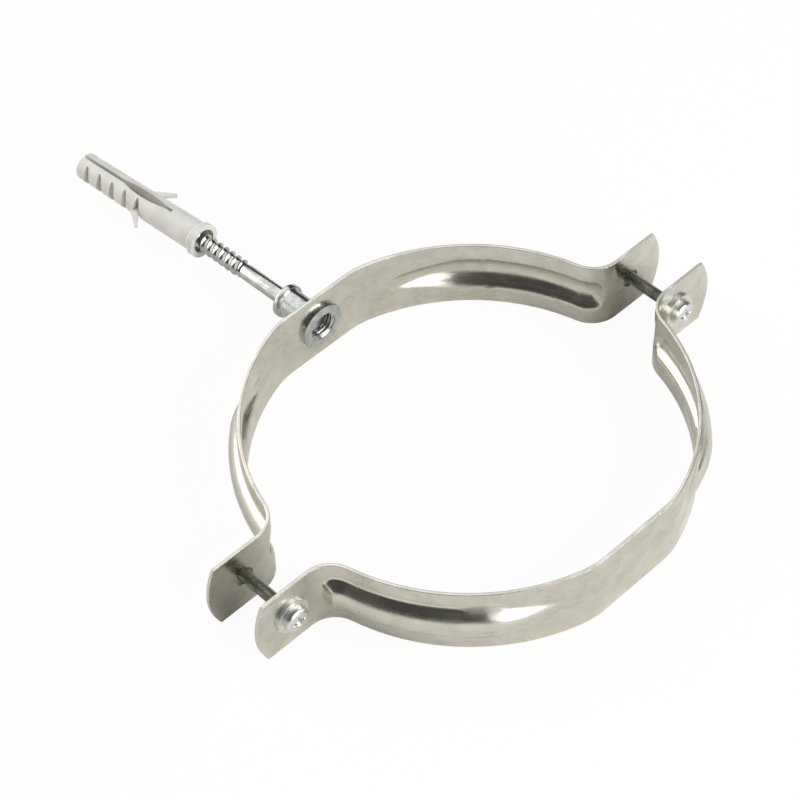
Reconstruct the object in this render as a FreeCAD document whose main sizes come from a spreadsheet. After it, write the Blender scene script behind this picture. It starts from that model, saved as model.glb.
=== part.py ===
import FreeCAD, Part
import math
import os
from types import SimpleNamespace

import Sketcher

# Two-piece flue pipe clamp with its wall fixing, all sizes in millimetres.
# Origin: centre of the pipe seat, at half the strip's width.
# +Z runs along the pipe, +Y points to the wall, and the ears lie on +X and -X.

DIMENSIONS = [
    # strip of sheet that both half rings are bent from
    ("strip_width", 25.0),
    ("strip_thick", 1.0),
    # half ring: a short flat with a round corner and a seat arc on each side
    ("seat_rad", 67.8),
    ("flat_inset", 1.85),
    ("corner_rad", 25.3),
    ("bend_rad", 9.5),
    # ears, with a crowned end and a hole wider than its screw
    ("ear_gap", 18.5),
    ("ear_margin", 10.25),
    ("ear_crown", 3.25),
    ("ear_hole_dia", 6.5),
    ("washer_clear", 0.58),
    ("front_shift", 1.15),
    # stiffening bead, pressed outward along each arc
    ("bead_depth", 3.75),
    ("bead_half", 7.6),
    ("bead_fillet", 2.5),
    ("bead_sink", 0.06),
    ("bead_start", 17.5),
    ("bead_full", 42.0),
    ("bead_into_bend", 24.0),
    ("bead_end_turn", 26.0),
    # flanged threaded boss, riveted into the rear flat
    ("boss_flange_dia", 16.0),
    ("boss_flange_thick", 1.5),
    ("boss_chamfer", 0.4),
    ("boss_barrel_dia", 11.6),
    ("boss_fit", 0.05),
    ("boss_rivet_dia", 13.4),
    ("boss_rivet_thick", 0.9),
    ("boss_end", 3.0),
    ("boss_mouth_dia", 9.7),
    ("boss_mouth_depth", 0.9),
    # wall screw: machine thread, neck, collar, shank and wood thread
    ("stud_dia", 8.0),
    ("stud_slack", 0.16),
    ("stud_recess", 2.8),
    ("stud_chamfer", 0.7),
    ("stud_thread", 4.8),
    ("neck_dia", 9.5),
    ("collar_stand", 13.0),
    ("collar_dia", 11.5),
    ("collar_thick", 2.0),
    ("collar_chamfer", 0.4),
    ("collar_cone", 1.2),
    ("shank_dia", 5.3),
    ("shank_length", 18.0),
    ("wood_dia", 6.3),
    ("wood_length", 25.0),
    ("wood_runout", 1.0),
    ("tip_length", 7.5),
    ("tip_dia", 0.6),
    ("screw_swing", 1.5),
    ("screw_droop", 1.0),
    # wall plug, pushed on the screw's point
    ("plug_length", 58.0),
    ("plug_dia", 10.4),
    ("plug_end_dia", 9.4),
    ("plug_end_chamfer", 0.8),
    ("plug_rim_dia", 11.9),
    ("plug_rim_thick", 2.0),
    ("plug_rim_taper", 1.2),
    ("plug_mouth_dia", 8.4),
    ("plug_mouth_depth", 2.0),
    ("plug_bore_dia", 4.6),
    ("plug_bore_end_dia", 2.6),
    ("plug_bore_taper", 5.0),
    ("plug_end_wall", 3.0),
    ("slot_length", 43.8),
    ("slot_width", 1.2),
    ("window_inset", 0.6),
    ("window_length", 25.0),
    ("window_width", 3.2),
    ("barb_first", 4.4),
    ("barb_pitch", 6.2),
    ("barb_count", 4),
    ("barb_depth", 2.3),
    ("barb_throat", 1.1),
    ("barb_ramp", 2.7),
    ("fin_root", 29.2),
    ("fin_length", 6.6),
    ("fin_spread", 4.6),
    ("fin_thick", 0.6),
    ("fin_width", 1.2),
    ("fin_base", 1.4),
    ("plug_seat_gap", 0.2),
    ("plug_swing", 3.3),
    ("plug_droop", 2.1),
    # ear bolts with their washers and flanged nuts
    ("bolt_dia", 4.0),
    ("bolt_length", 25.0),
    ("bolt_point", 0.5),
    ("head_dia", 8.2),
    ("head_height", 2.9),
    ("head_round", 1.5),
    ("recess_span", 4.6),
    ("recess_width", 1.1),
    ("recess_depth", 1.5),
    ("washer_dia", 11.8),
    ("washer_thick", 1.0),
    ("washer_slack", 0.15),
    ("nut_flats", 7.0),
    ("nut_height", 3.4),
    ("nut_flange_dia", 10.0),
    ("nut_flange_thick", 0.9),
    ("nut_slack", 0.05),
]

# How far a cutting outline runs past the face that it cuts
OVERCUT = 1.0

doc = FreeCAD.newDocument("flue_pipe_clamp")
sheet = doc.addObject("Spreadsheet::Sheet", "sizes")
for row, (alias, value) in enumerate(DIMENSIONS, start=1):
    sheet.set("A%d" % row, alias)
    sheet.set("B%d" % row, str(value))
    sheet.setAlias("B%d" % row, alias)
doc.recompute()


class Size:
    """A length or an angle that keeps its value beside the sheet formula it comes from."""

    def __init__(self, value, formula):
        self.value = value
        self.formula = formula

    def _join(self, other, sign, value):
        other_formula = other.formula if isinstance(other, Size) else repr(other)
        return Size(value, "(%s %s %s)" % (self.formula, sign, other_formula))

    def __add__(self, other):
        return self._join(other, "+", self.value + plain(other))

    def __sub__(self, other):
        return self._join(other, "-", self.value - plain(other))

    def __mul__(self, other):
        return self._join(other, "*", self.value * plain(other))

    def __truediv__(self, other):
        return self._join(other, "/", self.value / plain(other))

    def __neg__(self):
        return Size(-self.value, "(0 - %s)" % self.formula)


def plain(size):
    """The bare number of a Size, or the number itself."""
    return size.value if isinstance(size, Size) else float(size)


def root(size):
    """Square root of a Size."""
    return Size(math.sqrt(size.value), "sqrt(%s)" % size.formula)


def sine(angle):
    """Sine of an angle in degrees."""
    return Size(math.sin(math.radians(angle.value)), "sin(%s * 1 deg)" % angle.formula)


def cosine(angle):
    """Cosine of an angle in degrees."""
    return Size(math.cos(math.radians(angle.value)), "cos(%s * 1 deg)" % angle.formula)


def bind(target, path, size):
    """Drive one property of an object from the sheet."""
    target.setExpression(path, size.formula if isinstance(size, Size) else repr(size))


dim = SimpleNamespace(
    **{alias: Size(float(getattr(sheet, alias)), "sizes." + alias) for alias, _ in DIMENSIONS}
)


# Helpers for bodies and their sketches

def new_body(label):
    """Add an empty body that is labelled with its node name."""
    body = doc.addObject("PartDesign::Body", label)
    body.Label = label
    return body


def origin_plane(body, role):
    """One of the body's own origin planes."""
    for feature in body.Origin.OriginFeatures:
        if feature.Role == role:
            return feature
    raise ValueError(role)


def attached_sketch(body, name, role, lift=0.0):
    """Add an empty sketch on an origin plane, lifted along the plane's normal."""
    sketch = body.newObject("Sketcher::SketchObject", name)
    sketch.AttachmentSupport = [(origin_plane(body, role), "")]
    sketch.MapMode = "FlatFace"
    if plain(lift):
        bind(sketch, "AttachmentOffset.Base.z", lift)
    return sketch


def pin_point(sketch, edge, corner, x, y):
    """Fix one end of an edge at x and y, measured from the sketch's origin."""
    for kind, axis, size in (("DistanceX", -2, x), ("DistanceY", -1, y)):
        if plain(size) == 0.0:
            sketch.addConstraint(Sketcher.Constraint("PointOnObject", edge, corner, axis))
            continue
        constraint = Sketcher.Constraint(kind, -1, 1, edge, corner, plain(size))
        index = sketch.addConstraint(constraint)
        bind(sketch, "Constraints[%d]" % index, size)


def arc_through(start, end, radius, turn):
    """Arc from start to end; turn is +1 for anticlockwise travel and -1 for clockwise."""
    chord = end - start
    middle = (start + end) * 0.5
    rise = math.sqrt(max(radius ** 2 - (chord.Length / 2) ** 2, 0.0))
    side = FreeCAD.Vector(-chord.y, chord.x, 0).normalize()
    centre = middle + side * rise * turn
    first, last = (start, end) if turn > 0 else (end, start)
    angles = [math.atan2(p.y - centre.y, p.x - centre.x) for p in (first, last)]
    circle = Part.Circle(centre, FreeCAD.Vector(0, 0, 1), radius)
    return Part.ArcOfCircle(circle, angles[0], angles[1])


def outline(body, name, role, corners, arcs=None, lift=0.0):
    """Closed sketch through the corners; arcs maps an edge's number to (radius, turn)."""
    arcs = arcs or {}
    sketch = attached_sketch(body, name, role, lift)
    points = [FreeCAD.Vector(plain(x), plain(y), 0) for x, y in corners]
    count = len(points)
    for edge in range(count):
        start, end = points[edge], points[(edge + 1) % count]
        if edge in arcs:
            radius, turn = arcs[edge]
            sketch.addGeometry(arc_through(start, end, plain(radius), turn), False)
        else:
            sketch.addGeometry(Part.LineSegment(start, end), False)

    def ends(edge):
        """Corner numbers of an edge's first and last point along the outline."""
        backward = edge in arcs and arcs[edge][1] < 0
        return (2, 1) if backward else (1, 2)

    for edge in range(count):
        following = (edge + 1) % count
        joint = (edge, ends(edge)[1], following, ends(following)[0])
        sketch.addConstraint(Sketcher.Constraint("Coincident", *joint))
    for edge, (x, y) in enumerate(corners):
        pin_point(sketch, edge, ends(edge)[0], x, y)
    for edge, (radius, _) in arcs.items():
        index = sketch.addConstraint(Sketcher.Constraint("Radius", edge, plain(radius)))
        bind(sketch, "Constraints[%d]" % index, radius)
    return sketch


def disc(body, name, role, x, y, diameter):
    """Sketch with one circle."""
    sketch = attached_sketch(body, name, role)
    centre = FreeCAD.Vector(plain(x), plain(y), 0)
    circle = Part.Circle(centre, FreeCAD.Vector(0, 0, 1), plain(diameter) / 2)
    sketch.addGeometry(circle, False)
    pin_point(sketch, 0, 3, x, y)
    index = sketch.addConstraint(Sketcher.Constraint("Diameter", 0, plain(diameter)))
    bind(sketch, "Constraints[%d]" % index, diameter)
    return sketch


def pad(body, name, sketch, length, symmetric=False, backward=False):
    """Pad a sketch, half to each side where symmetric."""
    feature = body.newObject("PartDesign::Pad", name)
    feature.Profile = sketch
    bind(feature, "Length", length)
    feature.SideType = "Symmetric" if symmetric else "One side"
    feature.Reversed = backward
    return feature


def pocket(body, name, sketch, depth=None):
    """Cut a sketch to a depth, or through everything on both sides."""
    feature = body.newObject("PartDesign::Pocket", name)
    feature.Profile = sketch
    if depth is None:
        feature.Type = "ThroughAll"
        feature.SideType = "Symmetric"
    else:
        bind(feature, "Length", depth)
    return feature


def revolve(body, name, sketch):
    """Turn a sketch all round its vertical axis."""
    feature = body.newObject("PartDesign::Revolution", name)
    feature.Profile = sketch
    feature.ReferenceAxis = (sketch, ["V_Axis"])
    feature.Angle = 360.0
    return feature


def mirror(body, name, originals, role):
    """Mirror features at an origin plane and make the result the body's tip."""
    feature = body.newObject("PartDesign::Mirrored", name)
    feature.Originals = originals
    feature.MirrorPlane = (origin_plane(body, role), [""])
    body.Tip = feature
    return feature


def place(target, x=0.0, y=0.0, z=0.0, swing=None, droop=None):
    """Bind a position, a turn about Z (swing) and a dip of the +Y end (droop)."""
    for axis, size in (("x", x), ("y", y), ("z", z)):
        if isinstance(size, Size) or size:
            bind(target, "Placement.Base." + axis, size)
    if swing is not None:
        bind(target, "Placement.Rotation.Yaw", swing)
        bind(target, "Placement.Rotation.Roll", -droop)


# Half ring

bend_centre_y = dim.ear_gap / 2 + dim.strip_thick + dim.bend_rad
bend_centre_dist = dim.seat_rad + dim.strip_thick + dim.bend_rad
bend_centre_x = root(bend_centre_dist * bend_centre_dist - bend_centre_y * bend_centre_y)
flat_dist = dim.seat_rad - dim.flat_inset
bolt_reach = bend_centre_x + dim.washer_dia / 2 + dim.washer_clear
ear_corner = bolt_reach + dim.ear_margin
ear_tip = ear_corner + dim.ear_crown
half_width = dim.strip_width / 2


def side_path(offset):
    """Inner side of the half strip for offset 0, outer side for offset strip_thick.

    Returns the two lines and three arcs from the middle of the flat to the ear's end.
    """
    seat = dim.seat_rad.value + offset
    corner = dim.corner_rad.value + offset
    bend = dim.bend_rad.value + dim.strip_thick.value - offset
    flat = flat_dist.value + offset
    ear = dim.ear_gap.value / 2 + offset
    corner_y = flat - corner
    corner_x = math.sqrt((seat - corner) ** 2 - corner_y ** 2)
    turn = math.atan2(corner_x, corner_y)
    bend_x, bend_y = bend_centre_x.value, bend_centre_y.value
    meet = math.atan2(bend_x, bend_y)
    up = math.pi / 2
    axis = FreeCAD.Vector(0, 0, 1)

    def arc(x, y, radius, first, last):
        centre = FreeCAD.Vector(x, y, 0)
        return Part.ArcOfCircle(Part.Circle(centre, axis, radius), first, last)

    def line(x1, y1, x2, y2):
        return Part.LineSegment(FreeCAD.Vector(x1, y1, 0), FreeCAD.Vector(x2, y2, 0))

    return [
        line(0, flat, corner_x, flat),
        arc(corner_x, corner_y, corner, up - turn, up),
        arc(0, 0, seat, up - meet, up - turn),
        arc(bend_x, bend_y, bend, 3 * up - meet, 3 * up),
        line(bend_x, ear, ear_tip.value + OVERCUT, ear),
    ]


def strip_sketch(body):
    """Edge-on outline of half the strip: flat, corner, seat arc, bend and ear."""
    sketch = attached_sketch(body, "strip_outline", "XY_Plane")
    sketch.addGeometry(side_path(0.0), False)
    sketch.addGeometry(side_path(dim.strip_thick.value), False)
    for first, offset in ((0, 0.0), (5, dim.strip_thick)):
        flat, corner, seat, bend, ear = range(first, first + 5)
        for joint in (
            (flat, 2, corner, 2),
            (corner, 1, seat, 2),
            (seat, 1, bend, 1),
            (bend, 2, ear, 1),
        ):
            sketch.addConstraint(Sketcher.Constraint("Tangent", *joint))
        sketch.addConstraint(Sketcher.Constraint("Coincident", seat, 3, -1, 1))
        sketch.addConstraint(Sketcher.Constraint("PointOnObject", flat, 1, -2))
        sketch.addConstraint(Sketcher.Constraint("Horizontal", flat))
        sketch.addConstraint(Sketcher.Constraint("Horizontal", ear))
        for kind, where, size in (
            ("Radius", (corner,), dim.corner_rad + offset),
            ("Radius", (seat,), dim.seat_rad + offset),
            ("Radius", (bend,), dim.bend_rad + dim.strip_thick - offset),
            ("DistanceY", (-1, 1, flat, 1), flat_dist + offset),
            ("DistanceY", (-1, 1, ear, 1), dim.ear_gap / 2 + offset),
            ("DistanceX", (-1, 1, ear, 2), ear_tip + OVERCUT),
        ):
            index = sketch.addConstraint(Sketcher.Constraint(kind, *where, size.value))
            bind(sketch, "Constraints[%d]" % index, size)
    for inner, outer, corner in ((0, 5, 1), (4, 9, 2)):
        start = sketch.getPoint(inner, corner)
        end = sketch.getPoint(outer, corner)
        edge = sketch.addGeometry(Part.LineSegment(start, end), False)
        sketch.addConstraint(Sketcher.Constraint("Coincident", edge, 1, inner, corner))
        sketch.addConstraint(Sketcher.Constraint("Coincident", edge, 2, outer, corner))
    return sketch


def half_ring_strip(label, with_boss_hole):
    """Plain half ring before its beads are pressed."""
    body = new_body(label)
    strip = pad(body, "strip", strip_sketch(body), dim.strip_width, symmetric=True)
    crown_rad = (half_width * half_width + dim.ear_crown * dim.ear_crown) / dim.ear_crown / 2
    spare = half_width + OVERCUT
    past_ear = ear_tip + OVERCUT * 2
    end = outline(
        body,
        "ear_end_outline",
        "XZ_Plane",
        [
            (ear_corner, half_width),
            (ear_corner, spare),
            (past_ear, spare),
            (past_ear, -spare),
            (ear_corner, -spare),
            (ear_corner, -half_width),
        ],
        arcs={5: (crown_rad, 1)},
    )
    ear_end = pocket(body, "ear_end", end)
    hole = disc(body, "ear_hole_outline", "XZ_Plane", bolt_reach, 0.0, dim.ear_hole_dia)
    ear_hole = pocket(body, "ear_hole", hole)
    mirror(body, "both_sides", [strip, ear_end, ear_hole], "YZ_Plane")
    if with_boss_hole:
        hole_dia = dim.boss_barrel_dia + dim.boss_fit * 2
        boss = disc(body, "boss_hole_outline", "XZ_Plane", 0.0, 0.0, hole_dia)
        body.Tip = pocket(body, "boss_hole", boss)
    return body


# Beads: a skin that is added outside the arcs and a hollow that is cut inside them

bend_angle = math.degrees(math.atan2(bend_centre_x.value, bend_centre_y.value))
bend_centre = FreeCAD.Vector(bend_centre_x.value, bend_centre_y.value, 0)

# Sections of the fade from nothing to full depth, and how low and narrow its first one is
FADE_STEPS = 4
FADE_LOWEST = 0.01
FADE_NARROWEST = 0.3

# Sections of the blunt end, as shares of its length
END_SHARES = (0.0, 0.38, 0.71, 0.92, 0.99)


def seat_station(angle):
    """Foot on the seat and the outward direction there, angle in degrees from +Y."""
    turn = math.radians(angle)
    outward = FreeCAD.Vector(math.sin(turn), math.cos(turn), 0)
    return outward * dim.seat_rad.value, outward


def bend_station(turn):
    """Foot and outward direction in the bend, turn in degrees from its start."""
    rest = math.radians(bend_angle - turn)
    outward = FreeCAD.Vector(math.sin(rest), math.cos(rest), 0)
    return bend_centre - outward * (dim.bend_rad.value + dim.strip_thick.value), outward


def bead_section(station, height, half, hollow):
    """Closed wire across the bead: two fillets that run up to a round crown."""
    foot, outward = station
    sink = dim.bead_sink.value
    thick = dim.strip_thick.value
    depth = dim.bead_depth.value
    full_radii = (dim.bead_half.value ** 2 + depth ** 2) / (2 * depth)
    radii = (half ** 2 + height ** 2) / (2 * height)
    fillet = radii * dim.bead_fillet.value / full_radii
    if hollow:
        fillet += thick
    base = 0.0 if hollow else thick
    floor = -thick * 2 if hollow else -thick / 2
    reach = half * fillet / radii
    shoulder = fillet * (1 - math.sqrt(1 - (reach / fillet) ** 2))

    def at(width, rise):
        return foot + outward * (base + rise - sink) + FreeCAD.Vector(0, 0, width)

    half_turn = math.asin(reach / fillet) / 2
    quarter = (fillet * math.sin(half_turn), fillet * (1 - math.cos(half_turn)))
    left_fillet = Part.Arc(
        at(-half, 0), at(-half + quarter[0], quarter[1]), at(-half + reach, shoulder)
    )
    top = Part.Arc(at(-half + reach, shoulder), at(0, height), at(half - reach, shoulder))
    right_fillet = Part.Arc(
        at(half - reach, shoulder), at(half - quarter[0], quarter[1]), at(half, 0)
    )
    edges = [left_fillet.toShape(), top.toShape(), right_fillet.toShape()]
    corners = [at(half, 0), at(half, floor), at(-half, floor), at(-half, 0)]
    edges += [Part.makeLine(a, b) for a, b in zip(corners, corners[1:])]
    return Part.Wire(edges)


def bead_solid(hollow):
    """One bead's outer skin, or the hollow one sheet thickness inside it.

    It fades in on the seat, runs at full depth into the bend and ends there bluntly.
    """
    depth, half = dim.bead_depth.value, dim.bead_half.value
    start, full = dim.bead_start.value, dim.bead_full.value
    into_bend = dim.bead_into_bend.value
    up = FreeCAD.Vector(0, 0, 1)
    fade = []
    for step in range(FADE_STEPS + 1):
        share = step / FADE_STEPS
        station = seat_station(start + (full - start) * share)
        rise = max(share * share * (3 - 2 * share), FADE_LOWEST)
        width = FADE_NARROWEST + (1 - FADE_NARROWEST) * share
        fade.append(bead_section(station, depth * rise, half * width, hollow))
    end = []
    for share in END_SHARES:
        station = bend_station(into_bend + dim.bead_end_turn.value * share)
        rise = 1 - share ** 2
        width = (1 - share ** 3) ** (1 / 3)
        end.append(bead_section(station, depth * rise, half * width, hollow))
    seat_run = Part.Face(fade[-1]).revolve(FreeCAD.Vector(0, 0, 0), -up, bend_angle - full)
    bend_face = Part.Face(bead_section(bend_station(0.0), depth, half, hollow))
    bend_run = bend_face.revolve(bend_centre, up, into_bend)
    fade_loft = Part.makeLoft(fade, True, False)
    end_loft = Part.makeLoft(end, True, False)
    return fade_loft.fuse([seat_run, bend_run, end_loft])


def outside_of_strip():
    """Block of space on the outer side of the strip's inner face."""
    path = [curve.toShape() for curve in side_path(0.0)]
    start = path[0].Vertexes[0].Point
    end = path[-1].Vertexes[-1].Point
    far = 2 * dim.seat_rad.value
    corners = [
        end,
        FreeCAD.Vector(far, end.y, 0),
        FreeCAD.Vector(far, far, 0),
        FreeCAD.Vector(0, far, 0),
        start,
    ]
    edges = path + [Part.makeLine(a, b) for a, b in zip(corners, corners[1:])]
    face = Part.Face(Part.Wire(Part.__sortEdges__(edges)))
    height = dim.strip_width.value
    return face.extrude(FreeCAD.Vector(0, 0, height)).translated(
        FreeCAD.Vector(0, 0, -height / 2)
    )


def bead_feature(label, hollow):
    """Both beads of a half ring as one document object."""
    right = bead_solid(hollow)
    if not hollow:
        right = right.common(outside_of_strip())
    left = right.mirror(FreeCAD.Vector(0, 0, 0), FreeCAD.Vector(1, 0, 0))
    feature = doc.addObject("Part::Feature", label)
    feature.Shape = Part.makeCompound([right, left])
    return feature


def beaded_band(label, strip, skins, hollows):
    """Press the beads into a plain half ring."""
    raised = doc.addObject("Part::MultiFuse", label + "_raised")
    raised.Shapes = [strip, skins]
    band = doc.addObject("Part::Cut", label)
    band.Base = raised
    band.Tool = hollows
    band.Label = label
    return band


bead_skins = bead_feature("bead_skins", hollow=False)
bead_hollows = bead_feature("bead_hollows", hollow=True)
rear_band = beaded_band(
    "rear_band", half_ring_strip("rear_strip", True), bead_skins, bead_hollows
)
front_band = beaded_band(
    "front_band", half_ring_strip("front_strip", False), bead_skins, bead_hollows
)
front_band.Placement = FreeCAD.Placement(
    FreeCAD.Vector(0, 0, 0), FreeCAD.Rotation(FreeCAD.Vector(0, 0, 1), 180)
)
place(front_band, x=dim.front_shift)


# Threaded boss, local +Y from the flange's face to the wall

boss_bore = dim.stud_dia / 2 + dim.stud_slack
band_back = dim.boss_flange_thick + dim.strip_thick
boss_tail = band_back + dim.boss_rivet_thick
threaded_boss = new_body("threaded_boss")
revolve(
    threaded_boss,
    "boss",
    outline(
        threaded_boss,
        "boss_outline",
        "XY_Plane",
        [
            (dim.boss_mouth_dia / 2, 0.0),
            (dim.boss_flange_dia / 2 - dim.boss_chamfer, 0.0),
            (dim.boss_flange_dia / 2, dim.boss_chamfer),
            (dim.boss_flange_dia / 2, dim.boss_flange_thick),
            (dim.boss_barrel_dia / 2, dim.boss_flange_thick),
            (dim.boss_barrel_dia / 2, band_back),
            (dim.boss_rivet_dia / 2, band_back),
            (dim.boss_rivet_dia / 2, boss_tail),
            (dim.boss_barrel_dia / 2, boss_tail),
            (dim.boss_barrel_dia / 2, boss_tail + dim.boss_end),
            (boss_bore, boss_tail + dim.boss_end),
            (boss_bore, dim.boss_mouth_depth),
        ],
    ),
)
boss_face = flat_dist - dim.boss_flange_thick
place(threaded_boss, y=boss_face)


# Wall screw, local +Y along its axis from the middle of the boss thread

pivot = flat_dist + dim.strip_thick / 2
stud_end = boss_face + dim.stud_recess - pivot
thread_end = stud_end + dim.stud_thread
collar_near = flat_dist + dim.strip_thick + dim.collar_stand - pivot
collar_far = collar_near + dim.collar_thick
shank_end = collar_far + dim.shank_length
wood_end = shank_end + dim.wood_length
wall_screw = new_body("wall_screw")
revolve(
    wall_screw,
    "screw",
    outline(
        wall_screw,
        "screw_outline",
        "XY_Plane",
        [
            (0.0, stud_end),
            (dim.stud_dia / 2 - dim.stud_chamfer, stud_end),
            (dim.stud_dia / 2, stud_end + dim.stud_chamfer),
            (dim.stud_dia / 2, thread_end),
            (dim.neck_dia / 2, thread_end),
            (dim.neck_dia / 2, collar_near),
            (dim.collar_dia / 2 - dim.collar_chamfer, collar_near),
            (dim.collar_dia / 2, collar_near + dim.collar_chamfer),
            (dim.collar_dia / 2, collar_far - dim.collar_chamfer),
            (dim.collar_dia / 2 - dim.collar_chamfer, collar_far),
            (dim.shank_dia / 2 + dim.collar_cone, collar_far),
            (dim.shank_dia / 2, collar_far + dim.collar_cone),
            (dim.shank_dia / 2, shank_end),
            (dim.wood_dia / 2, shank_end + dim.wood_runout),
            (dim.wood_dia / 2, wood_end),
            (dim.tip_dia / 2, wood_end + dim.tip_length),
            (0.0, wood_end + dim.tip_length),
        ],
    ),
)
place(wall_screw, y=pivot, swing=dim.screw_swing, droop=dim.screw_droop)


# Wall plug, local +Y from its mouth to its far end

wall_plug = new_body("wall_plug")
bore_end = dim.plug_length - dim.plug_end_wall
revolve(
    wall_plug,
    "plug",
    outline(
        wall_plug,
        "plug_outline",
        "XY_Plane",
        [
            (dim.plug_mouth_dia / 2, 0.0),
            (dim.plug_rim_dia / 2, 0.0),
            (dim.plug_rim_dia / 2, dim.plug_rim_thick),
            (dim.plug_dia / 2, dim.plug_rim_thick + dim.plug_rim_taper),
            (dim.plug_end_dia / 2, dim.plug_length - dim.plug_end_chamfer),
            (dim.plug_end_dia / 2 - dim.plug_end_chamfer, dim.plug_length),
            (0.0, dim.plug_length),
            (0.0, bore_end),
            (dim.plug_bore_end_dia / 2, bore_end),
            (dim.plug_bore_dia / 2, dim.plug_mouth_depth + dim.plug_bore_taper),
            (dim.plug_mouth_dia / 2, dim.plug_mouth_depth),
        ],
    ),
)
slot_start = dim.plug_length - dim.slot_length
window_end = slot_start + dim.window_length
slot = outline(
    wall_plug,
    "slot_outline",
    "XY_Plane",
    [
        (-dim.slot_width / 2, slot_start),
        (dim.slot_width / 2, slot_start),
        (dim.slot_width / 2, dim.plug_length + OVERCUT),
        (-dim.slot_width / 2, dim.plug_length + OVERCUT),
    ],
)
pocket(wall_plug, "slot", slot)
window_half = dim.window_width / 2
window_bulge = (dim.window_length * dim.window_length / 4 + window_half * window_half) / (
    dim.window_width
)
window = outline(
    wall_plug,
    "window_outline",
    "XY_Plane",
    [(0.0, slot_start + dim.window_inset), (0.0, window_end + dim.window_inset)],
    arcs={0: (window_bulge, 1), 1: (window_bulge, 1)},
)
pocket(wall_plug, "window", window)
SIDES = (("left", -1), ("right", 1))
barb_back = dim.plug_length - dim.barb_first
barb_root = dim.plug_end_dia / 2 - dim.barb_depth
recess_back = dim.plug_length - dim.fin_root
fin_tip = dim.plug_dia / 2 + dim.fin_spread


def saw_notch(name, back, sign):
    """Notch through one flank: steep wall at the back and a ramp out towards the mouth."""
    outer = (dim.plug_dia / 2 + OVERCUT) * sign
    notch = outline(
        wall_plug,
        name + "_outline",
        "XY_Plane",
        [
            (barb_root * sign, back),
            (barb_root * sign, back - dim.barb_throat),
            (outer, back - dim.barb_throat - dim.barb_ramp),
            (outer, back),
        ],
    )
    return pocket(wall_plug, name, notch)


barb_cuts = [saw_notch(side + "_barb", barb_back, sign) for side, sign in SIDES]
doc.recompute()
barb_row = wall_plug.newObject("PartDesign::LinearPattern", "barb_row")
barb_row.Originals = barb_cuts
barb_row.Direction = (slot, ["V_Axis"])
barb_row.Reversed = True
bind(barb_row, "Length", dim.barb_pitch * (dim.barb_count - 1))
bind(barb_row, "Occurrences", dim.barb_count)
wall_plug.Tip = barb_row
doc.recompute()
for side, sign in SIDES:
    saw_notch(side + "_fin_recess", recess_back, sign)
    doc.recompute()
    fin = outline(
        wall_plug,
        side + "_fin_outline",
        "XY_Plane",
        [
            (barb_root * sign, recess_back),
            (barb_root * sign, recess_back + dim.fin_base),
            (dim.plug_dia / 2 * sign, recess_back + dim.fin_base),
            (fin_tip * sign, recess_back - dim.fin_length + dim.fin_thick),
            ((fin_tip - dim.fin_thick) * sign, recess_back - dim.fin_length),
        ],
    )
    wall_plug.Tip = pad(wall_plug, side + "_fin", fin, dim.fin_width, symmetric=True)
    doc.recompute()

# The plug hangs where its tapering bore is a seat gap wider than the screw's thread
seat_dia = dim.wood_dia + dim.plug_seat_gap * 2
bore_slope = dim.plug_bore_taper / (dim.plug_mouth_dia - dim.plug_bore_dia)
seat_depth = dim.plug_mouth_depth + bore_slope * (dim.plug_mouth_dia - seat_dia)


def along(distance, swing, droop):
    """X, Y and Z of a run of the given length that leaves +Y by a swing and a droop."""
    return (
        -sine(swing) * cosine(droop) * distance,
        cosine(swing) * cosine(droop) * distance,
        -sine(droop) * distance,
    )


seat_point = along(wood_end, dim.screw_swing, dim.screw_droop)
seat_run = along(seat_depth, dim.plug_swing, dim.plug_droop)
place(
    wall_plug,
    x=seat_point[0] - seat_run[0],
    y=pivot + seat_point[1] - seat_run[1],
    z=seat_point[2] - seat_run[2],
    swing=dim.plug_swing,
    droop=dim.plug_droop,
)


# Ear bolts, washers and flanged nuts, local +Y from the head to the point

bolt_offset = dim.front_shift / 2
under_head = -(dim.ear_gap / 2 + dim.strip_thick + dim.washer_thick)


def ear_bolt(label):
    """Pan-head screw with a cross recess and a plain shank for its thread."""
    body = new_body(label)
    head = dim.head_dia / 2
    revolve(
        body,
        "bolt",
        outline(
            body,
            "bolt_outline",
            "XY_Plane",
            [
                (0.0, -dim.head_height),
                (head - dim.head_round, -dim.head_height),
                (head, dim.head_round - dim.head_height),
                (head, 0.0),
                (dim.bolt_dia / 2, 0.0),
                (dim.bolt_dia / 2, dim.bolt_length - dim.bolt_point),
                (dim.bolt_dia / 2 - dim.bolt_point, dim.bolt_length),
                (0.0, dim.bolt_length),
            ],
            arcs={1: (dim.head_round, 1)},
        ),
    )
    doc.recompute()
    for name, wide, tall in (
        ("slot_across", dim.recess_span / 2, dim.recess_width / 2),
        ("slot_along", dim.recess_width / 2, dim.recess_span / 2),
    ):
        cross = outline(
            body,
            name + "_outline",
            "XZ_Plane",
            [(-wide, -tall), (wide, -tall), (wide, tall), (-wide, tall)],
            lift=dim.head_height,
        )
        body.Tip = pocket(body, name, cross, depth=dim.recess_depth)
    return body


def ring(label, outer, inner, thickness):
    """Flat washer."""
    body = new_body(label)
    edges = [
        (inner / 2, 0.0),
        (outer / 2, 0.0),
        (outer / 2, thickness),
        (inner / 2, thickness),
    ]
    revolve(body, "ring", outline(body, "ring_outline", "XY_Plane", edges))
    return body


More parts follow.
